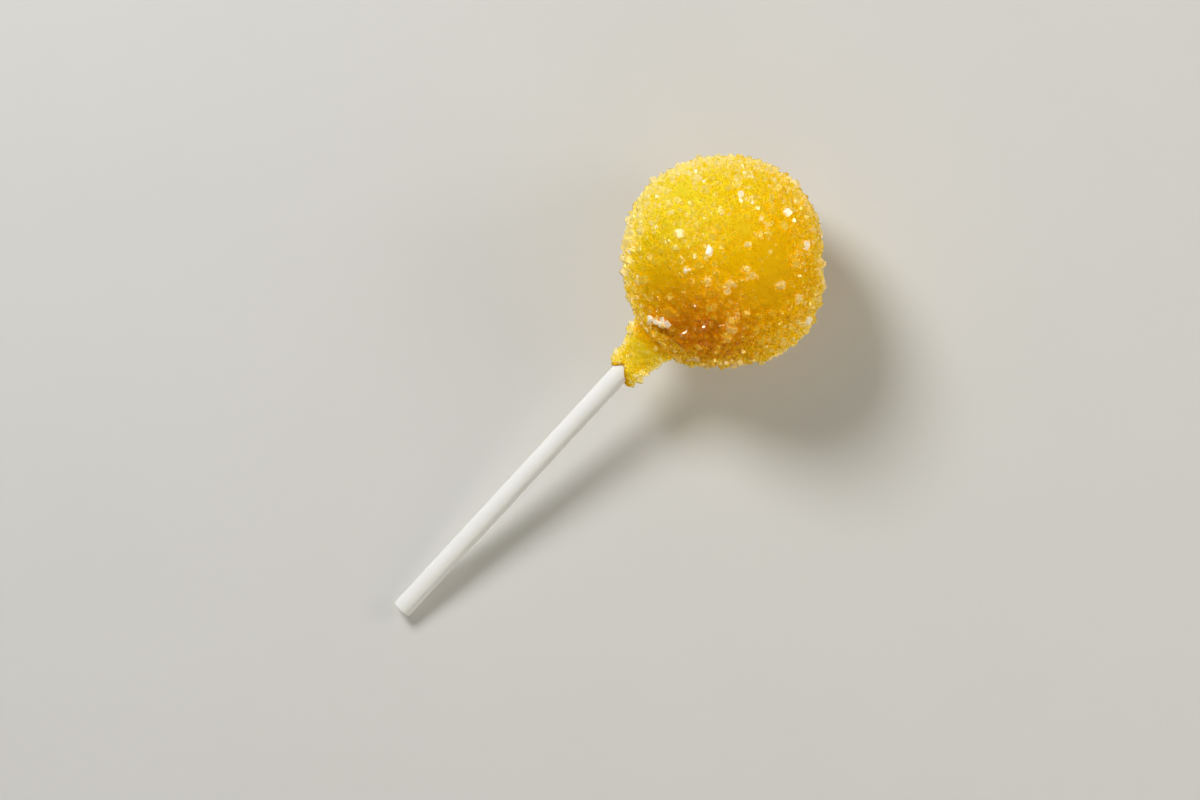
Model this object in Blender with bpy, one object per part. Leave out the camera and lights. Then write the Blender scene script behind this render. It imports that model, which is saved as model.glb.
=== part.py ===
# Lemon cake pop, lying on its side as it does on a table: a ball of cake in yellow icing, rolled in
# coarse sugar, on a white stick of rolled paper. The icing runs down the stick in a short neck.
# Frame: metres, +Z up, floor at z = 0. The origin is the middle of the small flat spot that the ball
# rests on, right under the ball's centre. The stick lies in the XZ plane, with its free end at -X.

import math

import bmesh
import bpy
import numpy as np
from mathutils import Vector, noise
from mathutils.bvhtree import BVHTree

MM = 0.001

# Driving dimensions
STICK_DIAMETER = 4.0 * MM
STICK_LENGTH = 101.6 * MM
STICK_REACH = 97.0 * MM         # from the ball's centre to the stick's free end
STICK_EDGE = 0.3 * MM           # rounding of the cut ends
STICK_SIDES = 36
BALL_RADIUS = 20.3 * MM         # mean radius of the icing, without the sugar
BALL_HEIGHT = 20.0 * MM         # of the ball's centre: less than its radius, so that it rests flat
GAP = 0.3 * MM                  # between the stick and the icing round it

# Neck of icing round the stick
NECK_RADIUS = 3.15 * MM
NECK_LEAN = 0.35 * MM           # by which it is thicker on the stick's -Y side, and thinner at +Y
NECK_END = 31.0 * MM            # from the ball's centre to where the icing ends on the stick
NECK_ANGLE = 15.0               # degrees off the stick's axis where the neck leaves the ball
NECK_FLARE = 2.2 * MM           # by which it widens where it meets the ball
NECK_FLARE_LEAN = 1.0 * MM      # by which it widens more at -Y and less at +Y
NECK_FLARE_LENGTH = 2.8 * MM
NECK_BLEND = 2.5 * MM           # rounding of the crease between the neck and the ball
NECK_BLEND_STATIONS = (0.6, 0.85)   # stations of the icing between which that rounding sets in
NECK_LUMPS = (                  # waves round it, start, twist for each mm along it, depth
    (2, 0.0, 0.9, 0.22 * MM),
    (3, 1.0, 0.0, 0.12 * MM),
)
MOUTH_ROUNDING = 0.3 * MM
MOUTH_WAVES = (3, 2.2, 0.3 * MM)    # waves round it, start, height
NOTCH = (-14.0, 30.0, 2.4 * MM)     # bare stick showing on top: degrees round, width, depth
TONGUE = (86.0, 38.0, 0.9 * MM)     # icing reaching further down the stick: the same

# Mesh of the icing: columns round the stick's axis, and rings along it
COLUMNS = 40
BALL_RINGS = 22
NECK_RINGS = 5
GRAIN_SIZE = 2.2 * MM           # spacing of the bumps that the fine sugar makes
GRAIN_RELIEF = 0.55 * MM

# Broad lobes and dents of the icing: turn about Z from +X in degrees, height above the horizon in
# degrees, how far out it stands, and its width in degrees
LOBES = (
    (-44.0, 0.0, -1.60 * MM, 15.0),
    (-92.0, 0.0, 1.15 * MM, 15.0),
    (-114.0, 0.0, 0.60 * MM, 9.0),
    (-137.0, 0.0, 0.40 * MM, 6.0),
    (-157.0, -8.0, 1.50 * MM, 9.0),
    (160.0, 0.0, -1.00 * MM, 8.0),
    (133.0, 0.0, -0.95 * MM, 15.0),
    (88.0, 5.0, 0.55 * MM, 14.0),
    (60.0, 0.0, 0.40 * MM, 14.0),
    (20.0, 0.0, 0.50 * MM, 16.0),
    (-20.0, 60.0, 0.25 * MM, 24.0),
    (100.0, -45.0, -0.40 * MM, 26.0),
    (-130.0, -35.0, 0.50 * MM, 22.0),
)

# Folded ledge of icing on top, where the ball meets the neck
LEDGE_ANGLE = 43.0              # degrees off the stick's axis, at its middle
LEDGE_TURN = -5.5               # degrees round the stick's axis
LEDGE_SLANT = 0.43              # degrees off the axis for each degree round it
LEDGE_HEIGHT = 0.80 * MM
LEDGE_SHARPNESS = 4.5           # degrees from its crest to where it has mostly gone
LEDGE_HALF_WIDTH = 15.0         # degrees round the stick's axis
POCKET = (9.0, 6.0, 0.72 * MM)  # hollow under the ledge: degrees nearer the stick, width, depth
LEDGE_CRYSTALS = 4
LEDGE_CRYSTAL_SIZE = 1.4 * MM

# Sugar crystals: how many, and the smallest and largest size of each kind
SEED = 7
COARSE_CRYSTALS = (120, 1.4 * MM, 2.0 * MM)
MEDIUM_CRYSTALS = (250, 1.0 * MM, 1.4 * MM)
NECK_CRYSTALS = (34, 0.9 * MM, 1.4 * MM)
NECK_STATIONS = (1.12, 1.96)    # between which the neck's crystals lie
SCATTER = 0.35                  # how far a place is pushed about, in steps of the spiral
STAND_OUT = 0.2                 # share of its size that a crystal's centre stands above the icing
SPACING = 1.2                   # least distance between two crystals, in mean crystal sizes
REST_CLEARANCE = 0.1 * MM       # of the lowest crystal corner above the floor
BARE_SPOT = 4.2 * MM            # no crystals this near to the middle of the flat spot
GOLDEN_ANGLE = math.pi * (3.0 - math.sqrt(5.0))
BLOCK_CORNERS = np.array(
    [(x, y, z) for z in (-0.5, 0.5) for x, y in ((-0.5, -0.5), (0.5, -0.5), (0.5, 0.5), (-0.5, 0.5))]
)
BLOCK_FACES = ((3, 2, 1, 0), (4, 5, 6, 7), (0, 1, 5, 4), (1, 2, 6, 5), (2, 3, 7, 6), (3, 0, 4, 7))

# Large crystals on the neck: share of the way from the ball to the neck's end, degrees round the
# stick, and size
NECK_LANDMARKS = (
    (0.31, -62.0, 2.3 * MM),
    (0.78, 75.0, 2.0 * MM),
    (0.68, 48.0, 1.6 * MM),
    (0.88, -62.0, 1.8 * MM),
)

# Large clear crystals that stand out, as seen from above: place towards +X and +Y in shares of the
# ball's radius, and size
LANDMARKS = (
    (-0.04, 0.16, 1.9 * MM),
    (0.08, -0.27, 1.8 * MM),
    (0.75, -0.14, 2.0 * MM),
    (0.64, -0.48, 2.2 * MM),
    (0.85, 0.10, 2.1 * MM),
    (0.93, -0.21, 2.2 * MM),
    (0.57, 0.31, 1.8 * MM),
    (0.66, 0.42, 2.2 * MM),
    (0.39, 0.72, 1.8 * MM),
    (0.49, 0.82, 1.8 * MM),
    (-0.21, 0.75, 1.3 * MM),
    (-0.44, -0.49, 2.0 * MM),
    (-0.16, -0.20, 1.5 * MM),
    (0.12, -0.99, 1.7 * MM),
    (0.74, 0.66, 1.5 * MM),
    (-0.55, 0.79, 2.2 * MM),
    (-0.86, 0.40, 1.7 * MM),
)


def stick_tilt():
    """Slope of the stick when the ball and the lower rim of the free end both touch the floor."""
    radius = STICK_DIAMETER / 2
    whole = math.asin(BALL_HEIGHT / math.hypot(STICK_REACH, radius))
    return whole - math.atan(radius / STICK_REACH)


TILT = stick_tilt()
CENTRE = np.array((0.0, 0.0, BALL_HEIGHT))
ALONG = np.array((-math.cos(TILT), 0.0, -math.sin(TILT)))   # from the ball to the free end
UP = np.array((-math.sin(TILT), 0.0, math.cos(TILT)))
SIDE = np.array((0.0, -1.0, 0.0))


def around(turn):
    """Unit vectors square to the stick, turned from straight up towards -Y."""
    return np.cos(turn)[..., None] * UP + np.sin(turn)[..., None] * SIDE


def direction(turn, height):
    """Unit vector from two angles in degrees: the turn about Z and the height above the horizon."""
    turn, height = math.radians(turn), math.radians(height)
    return np.array(
        (math.cos(height) * math.cos(turn), math.cos(height) * math.sin(turn), math.sin(height))
    )


def bump(value, width):
    return np.exp(-((value / width) ** 2))


def turn_between(turn, middle):
    """How far turn is from middle, in degrees, the short way round."""
    return np.degrees((turn - math.radians(middle) + np.pi) % (2 * np.pi) - np.pi)


def ball_radius(off_axis, turn):
    """Distance from the ball's centre to the icing, with its lobes and its ledge."""
    outward = np.cos(off_axis)[..., None] * ALONG + np.sin(off_axis)[..., None] * around(turn)
    radius = np.full(off_axis.shape, BALL_RADIUS)
    for lobe_turn, lobe_height, depth, width in LOBES:
        cosine = np.clip(outward @ direction(lobe_turn, lobe_height), -1.0, 1.0)
        radius += depth * bump(np.degrees(np.arccos(cosine)), width)
    beside = turn_between(turn, LEDGE_TURN)
    past_ledge = np.degrees(off_axis) - LEDGE_ANGLE - LEDGE_SLANT * beside
    below, width, depth = POCKET
    fold = LEDGE_HEIGHT * bump(past_ledge, LEDGE_SHARPNESS) - depth * bump(past_ledge + below, width)
    return radius + fold * bump(beside, LEDGE_HALF_WIDTH)


def neck_radius(distance, turn):
    """Radius of the icing round the stick: a lumpy sleeve that flares to the ball."""
    fade = np.exp(-np.maximum(distance - BALL_RADIUS, 0.0) / NECK_FLARE_LENGTH)
    radius = NECK_RADIUS + NECK_LEAN * np.sin(turn)
    radius = radius + (NECK_FLARE + NECK_FLARE_LEAN * np.sin(turn)) * fade
    for waves, start, twist, depth in NECK_LUMPS:
        radius = radius + depth * np.sin(waves * turn + start + twist * distance / MM)
    return radius


def neck_end(turn):
    """Where the icing ends on the stick: a notch on top, a tongue beside it, and waves."""
    notch_turn, notch_width, depth = NOTCH
    tongue_turn, tongue_width, length = TONGUE
    waves, start, height = MOUTH_WAVES
    notch = -depth * bump(turn_between(turn, notch_turn), notch_width)
    tongue = length * bump(turn_between(turn, tongue_turn), tongue_width)
    return NECK_END + notch + tongue + height * np.sin(waves * turn + start)


def larger_of(first, second, reach):
    """The larger of the two, rounded off where they are within reach of each other."""
    overlap = np.maximum(reach - np.abs(first - second), 0.0)
    return np.maximum(first, second) + overlap ** 2 / (4 * reach)


def icing(station, turn):
    """Points of the icing. The station is 0 on the far side of the ball, 1 where the neck leaves
    it and 2 at the neck's end."""
    station, turn = np.broadcast_arrays(np.asarray(station, float), np.asarray(turn, float))
    off_axis = math.pi + (math.radians(NECK_ANGLE) - math.pi) * np.minimum(station, 1.0)
    radius = ball_radius(off_axis, turn)
    neck_share = np.clip(station - 1.0, 0.0, 1.0)
    distance = radius * np.cos(off_axis)
    distance = distance + neck_share * (neck_end(turn) - distance)
    ball_width = radius * np.sin(off_axis) * (1.0 - neck_share)
    blend_start, blend_end = NECK_BLEND_STATIONS
    near_neck = np.clip((station - blend_start) / (blend_end - blend_start), 0.02, 1.0)
    neck_width = neck_radius(distance, turn) * near_neck
    width = larger_of(ball_width, neck_width, NECK_BLEND * near_neck)
    width = np.where(station > 0.0, width, 0.0)
    return CENTRE + distance[..., None] * ALONG + width[..., None] * around(turn)


def with_grain(points):
    """The points moved out or in a little, as the layer of fine sugar makes the icing bumpy."""
    outward = points - CENTRE
    outward = outward / np.linalg.norm(outward, axis=1)[:, None]
    push = np.array([noise.noise(Vector(point / GRAIN_SIZE)) for point in points])
    return points + outward * (GRAIN_RELIEF * push)[:, None]


def make_material(name, colour, roughness):
    material = bpy.data.materials.new(name)
    material.use_nodes = True
    shader = material.node_tree.nodes["Principled BSDF"]
    shader.inputs["Base Color"].default_value = (*colour, 1.0)
    shader.inputs["Roughness"].default_value = roughness
    shader.inputs["Metallic"].default_value = 0.0
    return material


def make_object(name, points, faces, material, collection=None):
    mesh = bpy.data.meshes.new(name)
    mesh.from_pydata([tuple(point) for point in points], [], faces)
    mesh.materials.append(material)
    obj = bpy.data.objects.new(name, mesh)
    (collection or bpy.context.scene.collection).objects.link(obj)
    return obj


def closed_tube(rings, first_tip, last_tip):
    """Points and faces of a closed form: rings of equal length between two end points."""
    count = len(rings[0])
    points = [first_tip, *(point for ring in rings for point in ring), last_tip]
    last = len(points) - 1
    faces = [(0, 1 + i, 1 + (i + 1) % count) for i in range(count)]
    for ring in range(len(rings) - 1):
        low = 1 + ring * count
        for i in range(count):
            after = (i + 1) % count
            faces.append((low + i, low + count + i, low + count + after, low + after))
    low = last - count
    faces += [(low + i, last, low + (i + 1) % count) for i in range(count)]
    return points, faces


def shade(obj):
    obj.data.shade_smooth()
    obj.data.set_sharp_from_angle(angle=math.radians(35.0))


def face_out(mesh):
    form = bmesh.new()
    form.from_mesh(mesh)
    bmesh.ops.recalc_face_normals(form, faces=form.faces)
    form.to_mesh(mesh)
    form.free()


def make_icing(material):
    """The coated ball before its crystals, with its neck and the socket that the stick sits in."""
    turns = np.arange(COLUMNS) * 2 * math.pi / COLUMNS
    ball = np.arange(1, BALL_RINGS + 1) / BALL_RINGS
    neck = 1.0 + np.arange(1, NECK_RINGS + 1) / NECK_RINGS
    rings = [with_grain(icing(station, turns)) for station in (*ball, *neck)]
    socket_radius = STICK_DIAMETER / 2 + GAP
    socket_bottom = -(STICK_LENGTH - STICK_REACH) - GAP
    mouth = neck_end(turns) - MOUTH_ROUNDING
    for distance in (mouth, np.full(COLUMNS, socket_bottom)):
        rings.append(CENTRE + distance[:, None] * ALONG + socket_radius * around(turns))
    far_side = icing(0.0, 0.0)
    bottom = CENTRE + socket_bottom * ALONG
    points, faces = closed_tube(rings, far_side, bottom)
    obj = make_object("iced_cake_ball", points, faces, material)
    face_out(obj.data)
    return obj


def cut_flat_spot(obj):
    """Cuts the icing off at the floor, which leaves the small flat spot that it rests on."""
    form = bmesh.new()
    form.from_mesh(obj.data)
    everything = [*form.verts, *form.edges, *form.faces]
    bmesh.ops.bisect_plane(
        form, geom=everything, plane_co=(0, 0, 0), plane_no=(0, 0, -1), clear_outer=True
    )
    rim = [edge for edge in form.edges if edge.is_boundary]
    bmesh.ops.contextual_create(form, geom=rim)
    bmesh.ops.recalc_face_normals(form, faces=form.faces)
    form.to_mesh(obj.data)
    form.free()


def stations_and_turns(outward):
    """Where the icing is, as stations and turns, in these directions from the ball's centre."""
    outward = outward / np.linalg.norm(outward, axis=1)[:, None]
    off_axis = np.arccos(np.clip(outward @ ALONG, -1.0, 1.0))
    station = (math.pi - off_axis) / (math.pi - math.radians(NECK_ANGLE))
    return station, np.arctan2(outward @ SIDE, outward @ UP)


def landmark_places():
    """Stations, turns and sizes of the crystals that have a place of their own."""
    east, north, sizes = np.array(LANDMARKS).T
    height = np.sqrt(np.maximum(0.0, 1.0 - east ** 2 - north ** 2))
    station, turn = stations_and_turns(np.stack((east, north, height), axis=1))
    neck_share, neck_turn, neck_sizes = np.array(NECK_LANDMARKS).T
    beside = LEDGE_HALF_WIDTH * ((2 * np.arange(LEDGE_CRYSTALS) + 1) / LEDGE_CRYSTALS - 1)
    ledge_station = (180.0 - LEDGE_ANGLE - LEDGE_SLANT * beside) / (180.0 - NECK_ANGLE)
    return np.array((
        (*station, *(1.0 + neck_share), *ledge_station),
        (*turn, *np.radians(neck_turn), *np.radians(LEDGE_TURN + beside)),
        (*sizes, *neck_sizes, *np.full(LEDGE_CRYSTALS, LEDGE_CRYSTAL_SIZE)),
    ))


def places_on_ball(kind, random):
    """An even spiral over the ball, each place pushed about at random."""
    count, smallest, largest = kind
    order = np.arange(count)
    height = 1.0 - 2.0 * (order + 0.5) / count
    level = np.sqrt(1.0 - height ** 2)
    outward = np.stack(
        (level * np.cos(order * GOLDEN_ANGLE), level * np.sin(order * GOLDEN_ANGLE), height), axis=1
    )
    outward += random.normal(0.0, SCATTER / math.sqrt(count), (count, 3))
    return np.array((*stations_and_turns(outward), random.uniform(smallest, largest, count)))


def places_on_neck(kind, random):
    """An even spiral round the neck."""
    count, smallest, largest = kind
    order = np.arange(count)
    first, last = NECK_STATIONS
    station = first + (last - first) * (order + 0.5) / count
    return np.array((station, order * GOLDEN_ANGLE, random.uniform(smallest, largest, count)))


def random_turns(count, random):
    """Rotation matrices turned at random, from unit quaternions."""
    w, x, y, z = (random.normal(0.0, 1.0, (count, 4)) + 1e-9).T
    n = 2.0 / (w * w + x * x + y * y + z * z)
    rows = (
        (1 - n * (y * y + z * z), n * (x * y - z * w), n * (x * z + y * w)),
        (n * (x * y + z * w), 1 - n * (x * x + z * z), n * (y * z - x * w)),
        (n * (x * z - y * w), n * (y * z + x * w), 1 - n * (x * x + y * y)),
    )
    return np.array(rows).transpose(2, 0, 1)


def crystal_corners(middles, sizes, random):
    """The eight corners of each sugar crystal: a block of uneven sides with one narrower face."""
    count = len(sizes)
    second, third, narrow = random.uniform(0.0, 1.0, (3, count))
    sides = sizes[:, None] * np.stack((np.ones(count), 0.75 + 0.2 * second, 0.6 + 0.3 * third), axis=1)
    corners = np.repeat(BLOCK_CORNERS[None], count, axis=0)
    corners[:, 4:, :2] *= (0.8 + 0.2 * narrow)[:, None, None]
    turned = np.einsum("nij,nkj->nki", random_turns(count, random), corners * sides[:, None, :])
    return middles[:, None, :] + turned


def apart(middles, sizes):
    """Which crystals stay, so that none sits in an earlier one."""
    kept = []
    for i, (middle, size) in enumerate(zip(middles, sizes)):
        distance = np.linalg.norm(middles[kept] - middle, axis=1)
        if (distance > SPACING * (sizes[kept] + size) / 2).all():
            kept.append(i)
    return np.array(kept)


def seats(points, mesh):
    """The nearest points of the mesh, and the directions out of it there."""
    faces = [tuple(face.vertices) for face in mesh.polygons]
    tree = BVHTree.FromPolygons([vertex.co for vertex in mesh.vertices], faces)
    found = [tree.find_nearest(point)[:2] for point in points]
    return np.array(found).transpose(1, 0, 2)


def crystals(icing_mesh):
    """The corners of every crystal, the largest kinds first."""
    random = np.random.RandomState(SEED)
    station, turn, sizes = np.concatenate((
        landmark_places(),
        places_on_ball(COARSE_CRYSTALS, random),
        places_on_neck(NECK_CRYSTALS, random),
        places_on_ball(MEDIUM_CRYSTALS, random),
    ), axis=1)
    seat, outward = seats(icing(station, turn), icing_mesh)
    middles = seat + outward * (STAND_OUT * sizes)[:, None]
    corners = crystal_corners(middles, sizes, random)
    corners[:, :, 2] += np.maximum(REST_CLEARANCE - corners[:, :, 2].min(axis=1), 0.0)[:, None]
    on_spot = (middles[:, 2] < BALL_HEIGHT) & (np.hypot(*middles.T[:2]) < BARE_SPOT)
    kept = apart(middles, sizes)
    return corners[kept[~on_spot[kept]]]


def make_crystals(icing_mesh, material, collection):
    """The crystals as objects, which the union then fuses to the icing."""
    for corners in crystals(icing_mesh):
        crystal = make_object("crystal", corners, BLOCK_FACES, material, collection)
        face_out(crystal.data)


def fuse(obj, collection):
    """Joins the collection's objects to obj as one body, and removes them."""
    union = obj.modifiers.new("Sugar", "BOOLEAN")
    union.operation = "UNION"
    union.operand_type = "COLLECTION"
    union.collection = collection
    union.solver = "EXACT"
    union.material_mode = "TRANSFER"
    graph = bpy.context.evaluated_depsgraph_get()
    fused = bpy.data.meshes.new_from_object(obj.evaluated_get(graph))
    obj.modifiers.remove(union)
    obj.data = fused
    for crystal in list(collection.objects):
        bpy.data.objects.remove(crystal)
    bpy.data.collections.remove(collection)


def make_coated_ball(icing_material, sugar_material):
    obj = make_icing(icing_material)
    cut_flat_spot(obj)
    collection = bpy.data.collections.new("crystals")
    bpy.context.scene.collection.children.link(collection)
    make_crystals(obj.data, sugar_material, collection)
    fuse(obj, collection)
    shade(obj)


def make_stick(material):
    """The rolled paper stick: a rod with slightly rounded ends, pushed past the ball's middle."""
    turns = np.arange(STICK_SIDES) * 2 * math.pi / STICK_SIDES
    radius = STICK_DIAMETER / 2
    inner = STICK_REACH - STICK_LENGTH
    edge = STICK_EDGE
    profile = [
        (inner, radius - edge),
        (inner + 0.3 * edge, radius - 0.3 * edge),
        (inner + edge, radius),
        (STICK_REACH - edge, radius),
        (STICK_REACH - 0.3 * edge, radius - 0.3 * edge),
        (STICK_REACH, radius - edge),
    ]
    rings = [CENTRE + distance * ALONG + width * around(turns) for distance, width in profile]
    points, faces = closed_tube(rings, CENTRE + inner * ALONG, CENTRE + STICK_REACH * ALONG)
    obj = make_object("paper_stick", points, faces, material)
    face_out(obj.data)
    shade(obj)


def clear_scene():
    for obj in list(bpy.data.objects):
        bpy.data.objects.remove(obj)


def main():
    clear_scene()
    icing_material = make_material("lemon_icing", (0.80, 0.50, 0.02), 0.4)
    sugar_material = make_material("yellow_sugar", (0.90, 0.66, 0.10), 0.2)
    paper = make_material("white_paper", (0.84, 0.83, 0.80), 0.55)
    make_coated_ball(icing_material, sugar_material)
    make_stick(paper)


main()
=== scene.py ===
import math
import bpy
import numpy as np
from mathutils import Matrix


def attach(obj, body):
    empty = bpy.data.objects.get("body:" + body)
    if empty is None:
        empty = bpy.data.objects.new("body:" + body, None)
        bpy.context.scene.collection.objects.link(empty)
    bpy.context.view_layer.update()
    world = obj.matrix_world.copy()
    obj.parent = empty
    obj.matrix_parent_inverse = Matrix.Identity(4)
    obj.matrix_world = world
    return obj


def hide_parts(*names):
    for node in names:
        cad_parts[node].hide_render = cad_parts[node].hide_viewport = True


# A lemon cake pop lying on its side: yellow icing rolled in sugar, on a rolled paper stick.
# Metres, +Z up. The ball's flat spot is at the origin, and the stick's free end points to -X.

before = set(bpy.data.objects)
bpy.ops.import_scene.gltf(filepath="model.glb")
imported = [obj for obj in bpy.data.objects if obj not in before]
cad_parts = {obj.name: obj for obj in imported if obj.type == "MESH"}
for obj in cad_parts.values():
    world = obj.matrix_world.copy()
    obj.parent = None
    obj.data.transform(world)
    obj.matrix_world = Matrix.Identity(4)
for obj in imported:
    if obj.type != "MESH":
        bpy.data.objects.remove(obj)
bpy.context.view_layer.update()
mm = 0.001
goldenAngle = math.pi * (3 - math.sqrt(5))
print("frame loaded:", ", ".join(sorted(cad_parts)))


# The form that the icing, the sugar and the stick share

stick = {
    "radius": 2.0 * mm,
    "length": 101.6 * mm,
    "reach": 97.0 * mm,  # from the ball's centre to the free end
    "rimRounding": 0.3 * mm,
    "columns": 128,
    "bodyRings": 60,
    "rimRings": 7,
    "endRings": 26,
    "sharpFrom": 50.0,  # degrees between faces whose edge looks sharp
    "seamTurn": 185.0,  # where the paper's outer edge ends, degrees round the stick
    "seamStep": 0.05 * mm,
    "seamFade": 50.0,  # degrees
    "rollTurns": 8,  # turns of paper that show on the cut end
    "rollGroove": 0.035 * mm,
    "grooveWidth": 0.2,  # share of one turn of paper
    "endDish": 0.12 * mm,
    "pinhole": 0.35 * mm,
    "pinholeWidth": 0.09,  # share of the stick's radius
}
ball = {
    "radius": 20.3 * mm,
    "height": 20.0 * mm,
    "neckAngle": 15.0,  # degrees off the stick's axis where the neck leaves the ball
    "lobes": (  # turn about Z, height above the horizon, how far out in mm, width
        (-44.0, 0.0, -1.6, 15.0), (-92.0, 0.0, 1.15, 15.0), (-114.0, 0.0, 0.6, 9.0),
        (-137.0, 0.0, 0.4, 6.0), (-157.0, -8.0, 1.5, 9.0), (160.0, 0.0, -1.0, 8.0),
        (133.0, 0.0, -0.95, 15.0), (88.0, 5.0, 0.55, 14.0), (60.0, 0.0, 0.4, 14.0),
        (20.0, 0.0, 0.5, 16.0), (-20.0, 60.0, 0.25, 24.0), (100.0, -45.0, -0.4, 26.0),
        (-130.0, -35.0, 0.5, 22.0),
    ),
    "ledgeAngle": 43.0,  # degrees off the stick's axis, at the ledge's middle
    "ledgeTurn": -5.5,  # degrees round the stick
    "ledgeSlant": 0.43,  # degrees further off the axis for each degree round it
    "ledgeHeight": 0.80 * mm,
    "ledgeWidth": 4.5,  # degrees, across it
    "ledgeLength": 15.0,  # degrees, along it
    "pocket": (9.0, 6.0, 0.72 * mm),  # degrees below the ledge, width, depth
}
neck = {
    "radius": 3.15 * mm,
    "lean": 0.35 * mm,  # how much wider it is towards -Y
    "end": 31.0 * mm,  # from the ball's centre
    "flare": 2.2 * mm,  # how much wider it is where it leaves the ball
    "flareLean": 1.0 * mm,
    "flareLength": 2.8 * mm,
    "blend": 2.5 * mm,  # over which its crease with the ball is rounded off
    "blendStations": (0.6, 0.85),  # between which it grows out of the ball
    "blendLeast": 0.02,  # share of its width before them
    "lumps": ((2, 0.0, 0.9, 0.22 * mm), (3, 1.0, 0.0, 0.12 * mm)),  # waves, start, twist per mm, depth
    "mouthWaves": (3, 2.2, 0.3 * mm),  # waves, start, height
    "notch": (-14.0, 30.0, 2.4 * mm),  # degrees round the stick, width, depth
    "tongue": (86.0, 38.0, 0.9 * mm),  # degrees round the stick, width, length
}

# The tilt at which the free end's lower edge touches the floor that the ball rests on.
stickTilt = math.asin(ball["height"] / math.hypot(stick["reach"], stick["radius"]))
stickTilt -= math.atan(stick["radius"] / stick["reach"])
centre = np.array((0.0, 0.0, ball["height"]))
along = np.array((-math.cos(stickTilt), 0.0, -math.sin(stickTilt)))   # from the ball to the free end
upward = np.array((-math.sin(stickTilt), 0.0, math.cos(stickTilt)))
aside = np.array((0.0, -1.0, 0.0))


# Square to the stick, turned from straight up towards -Y: up by the cosine, aside by the sine.
def around(turn):
    return np.cos(turn)[..., None] * upward + np.sin(turn)[..., None] * aside


# A bell curve: e to the minus square of value over width.
def bell(value, width):
    return np.exp(-((value / width) ** 2))


# The least of a span plus a share of the rest.
def within(span, share):
    least, rest = span
    return least + rest * share


# Degrees from one turn to another, the short way round.
def turnFrom(turn, middle):
    return np.degrees((turn - math.radians(middle) + np.pi) % (2 * np.pi) - np.pi)


# Degrees round the stick from the ledge's middle, and degrees off its axis past the slanted ledge.
def fromLedge(offAxis, turn):
    beside = turnFrom(turn, ball["ledgeTurn"])
    return beside, np.degrees(offAxis) - ball["ledgeAngle"] - ball["ledgeSlant"] * beside


# The ball's mean radius, plus a bell curve for each lobe, plus the ledge's ridge less its pocket.
def ballRadius(offAxis, turn):
    outward = np.cos(offAxis)[..., None] * along + np.sin(offAxis)[..., None] * around(turn)
    radius = np.full(offAxis.shape, ball["radius"])
    for lobeTurn, lobeHeight, depth, width in ball["lobes"]:
        turned, raised = math.radians(lobeTurn), math.radians(lobeHeight)
        level = math.cos(raised)
        lobe = np.array((level * math.cos(turned), level * math.sin(turned), math.sin(raised)))
        radius += depth * mm * bell(np.degrees(np.arccos(np.clip(outward @ lobe, -1, 1))), width)
    beside, past = fromLedge(offAxis, turn)
    below, width, depth = ball["pocket"]
    fold = ball["ledgeHeight"] * bell(past, ball["ledgeWidth"]) - depth * bell(past + below, width)
    return radius + fold * bell(beside, ball["ledgeLength"])


# The neck's radius and its flare, which dies away from the ball, both larger towards -Y, plus waves.
def neckRadius(distance, turn):
    fade = np.exp(-np.maximum(distance - ball["radius"], 0) / neck["flareLength"])
    radius = neck["radius"] + neck["lean"] * np.sin(turn)
    radius = radius + (neck["flare"] + neck["flareLean"] * np.sin(turn)) * fade
    for waves, start, twist, depth in neck["lumps"]:
        radius = radius + depth * np.sin(waves * turn + start + twist * distance / mm)
    return radius


# The neck's length less a bell-shaped notch, plus a bell-shaped tongue and waves.
def neckEnd(turn):
    notchTurn, notchWidth, depth = neck["notch"]
    tongueTurn, tongueWidth, length = neck["tongue"]
    waves, start, height = neck["mouthWaves"]
    notch = -depth * bell(turnFrom(turn, notchTurn), notchWidth)
    tongue = length * bell(turnFrom(turn, tongueTurn), tongueWidth)
    return neck["end"] + notch + tongue + height * np.sin(waves * turn + start)


# The larger of two widths, plus a rounding of the crease where they differ by less than reach: the
# square of what is missing from reach, over four times reach.
def largerOf(first, second, reach):
    missing = np.maximum(reach - np.abs(first - second), 0)
    return np.maximum(first, second) + missing ** 2 / (4 * reach)


# The angle off the stick's axis, from half a turn on the ball's far side to the neck's.
def angleOffAxis(station):
    return math.pi + (math.radians(ball["neckAngle"]) - math.pi) * np.minimum(station, 1)


# Distance along the stick's axis and width from it. The station runs from 0 on the ball's far side
# to 1 where the neck leaves it and 2 at the neck's end. The width is the larger of the ball's, which
# shrinks to nothing along the neck, and the neck's, which grows inside the ball.
def icingProfile(station, turn):
    station, turn = np.broadcast_arrays(np.asarray(station, float), np.asarray(turn, float))
    offAxis = angleOffAxis(station)
    radius = ballRadius(offAxis, turn)
    share = np.clip(station - 1, 0, 1)
    distance = radius * np.cos(offAxis)
    distance = distance + share * (neckEnd(turn) - distance)
    blendStart, blendEnd = neck["blendStations"]
    near = np.clip((station - blendStart) / (blendEnd - blendStart), neck["blendLeast"], 1)
    ballWidth = radius * np.sin(offAxis) * (1 - share)
    width = largerOf(ballWidth, neckRadius(distance, turn) * near, neck["blend"] * near)
    return distance, np.where(station > 0, width, 0)


# Centre, plus distance along the axis, plus width square to it.
def onAxis(distance, width, turn):
    distance, width, turn = np.broadcast_arrays(distance, width, turn)
    return centre + distance[..., None] * along + width[..., None] * around(turn)


# A point of the icing before it swells.
def icingPoint(station, turn):
    return onAxis(*icingProfile(station, turn), turn)


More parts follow.
